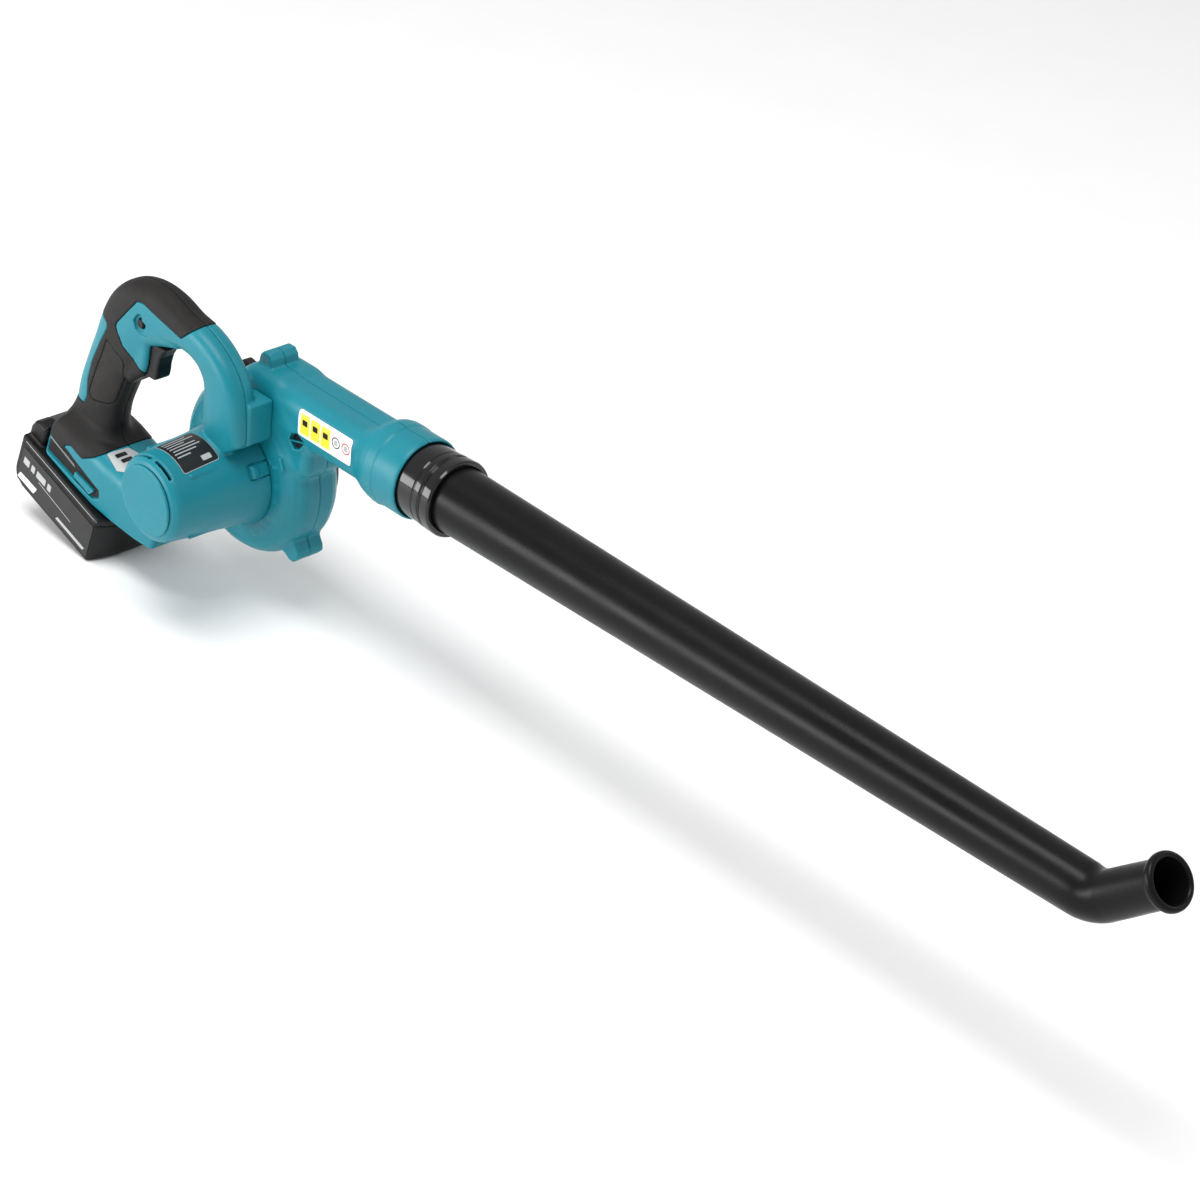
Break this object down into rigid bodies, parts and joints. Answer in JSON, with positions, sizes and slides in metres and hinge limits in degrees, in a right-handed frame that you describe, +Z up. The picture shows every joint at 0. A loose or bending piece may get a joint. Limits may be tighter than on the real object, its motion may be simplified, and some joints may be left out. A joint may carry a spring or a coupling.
{
  "type": "leaf blower",
  "caption": "Cordless leaf blower with a loop handle, motor barrel, fan casing, slide-on battery pack and a long nozzle bent up at its tip.",
  "frame": {"origin": "centre of the motor cover's flat outer face, on the motor axis", "axes": "+X the way the air leaves along the nozzle, +Y the tool's left (intake side), +Z up"},
  "size_m": [1.1715, 0.1603, 0.271],
  "materials": {
    "casing_teal": "moulded, faint grain",
    "rubber": "soft overmould",
    "black_plastic": "moulded",
    "nozzle_plastic": "satin",
    "nozzle_gloss": "polished",
    "pack_plastic": "moulded",
    "screw_steel": "bright",
    "motor_steel": "plain",
    "magnet": "sintered",
    "copper": "wound",
    "carbon": "graphite",
    "circuit_board": "solder mask",
    "cell_sleeve": "shrink wrap",
    "lead_red": "insulation",
    "lead_black": "insulation",
    "label_white": "printed",
    "label_black": "printed"
  },
  "bodies": {
    "housing": {"scroll_right": "casing_teal", "scroll_left": "casing_teal", "handle_right": "casing_teal", "handle_left": "casing_teal", "motor_cover": "casing_teal", "grip_rubber_right": "rubber", "grip_rubber_left": "rubber", "intake_cover": "black_plastic", "terminal_block": "black_plastic", "switch_body": "black_plastic", "brush_plate": "black_plastic", "scroll_screw_1": "screw_steel", "scroll_screw_2": "screw_steel", "scroll_screw_3": "screw_steel", "scroll_screw_4": "screw_steel", "handle_screw_1": "screw_steel", "handle_screw_2": "screw_steel", "handle_screw_3": "screw_steel", "handle_screw_4": "screw_steel", "trigger_spring": "screw_steel", "lock_spring": "screw_steel", "motor_can": "motor_steel", "bearing_fan_side": "motor_steel", "bearing_cover_side": "motor_steel", "magnet_upper": "magnet", "magnet_lower": "magnet", "brush_front": "carbon", "brush_back": "carbon", "lead_positive": "lead_red", "lead_negative": "lead_black", "duct_label": "label_white", "foot_label": "label_white", "rating_label": "label_black"},
    "fan": {"armature": "copper", "commutator": "copper", "motor_shaft": "motor_steel", "impeller": "black_plastic", "impeller_nut": "screw_steel"},
    "trigger_key": {"trigger": "black_plastic"},
    "lock_key": {"lock_button": "black_plastic"},
    "nozzle": {"nozzle_sleeve": "nozzle_gloss", "nozzle_tube": "nozzle_plastic"},
    "pack": {"battery_case_lower": "pack_plastic", "battery_case_upper": "pack_plastic", "battery_spring": "screw_steel", "battery_board": "circuit_board", "battery_label": "label_black", "cell_1": "cell_sleeve", "cell_2": "cell_sleeve", "cell_3": "cell_sleeve", "cell_4": "cell_sleeve", "cell_5": "cell_sleeve", "cell_6": "cell_sleeve", "cell_7": "cell_sleeve", "cell_8": "cell_sleeve", "cell_9": "cell_sleeve", "cell_10": "cell_sleeve"},
    "release_key": {"battery_button": "pack_plastic"}
  },
  "joints": [
    {"name": "fan_spin", "type": "hinge", "parent": "housing", "child": "fan", "pos_m": [0, 0.121, 0], "axis": [0, 1, 0], "continuous": true},
    {"name": "trigger_pull", "type": "slide", "parent": "housing", "child": "trigger_key", "axis": [-1, 0, 0], "range_m": [0, 0.006], "stiffness_N_per_m": 500, "springref_m": -0.004},
    {"name": "lock_press", "type": "slide", "parent": "housing", "child": "lock_key", "axis": [0, 1, 0], "range_m": [0, 0.0025], "stiffness_N_per_m": 400, "springref_m": -0.003},
    {"name": "nozzle_twist", "type": "hinge", "parent": "housing", "child": "nozzle", "pos_m": [0.2, 0.121, 0.074], "axis": [1, 0, 0], "range_deg": [-35, 0]},
    {"name": "pack_slide", "type": "slide", "parent": "housing", "child": "pack", "axis": [-0.9511, 0, 0.309], "range_m": [0, 0.085]},
    {"name": "release_press", "type": "slide", "parent": "pack", "child": "release_key", "axis": [-0.309, 0, -0.9511], "range_m": [0, 0.004], "stiffness_N_per_m": 500, "springref_m": -0.003}
  ]
}
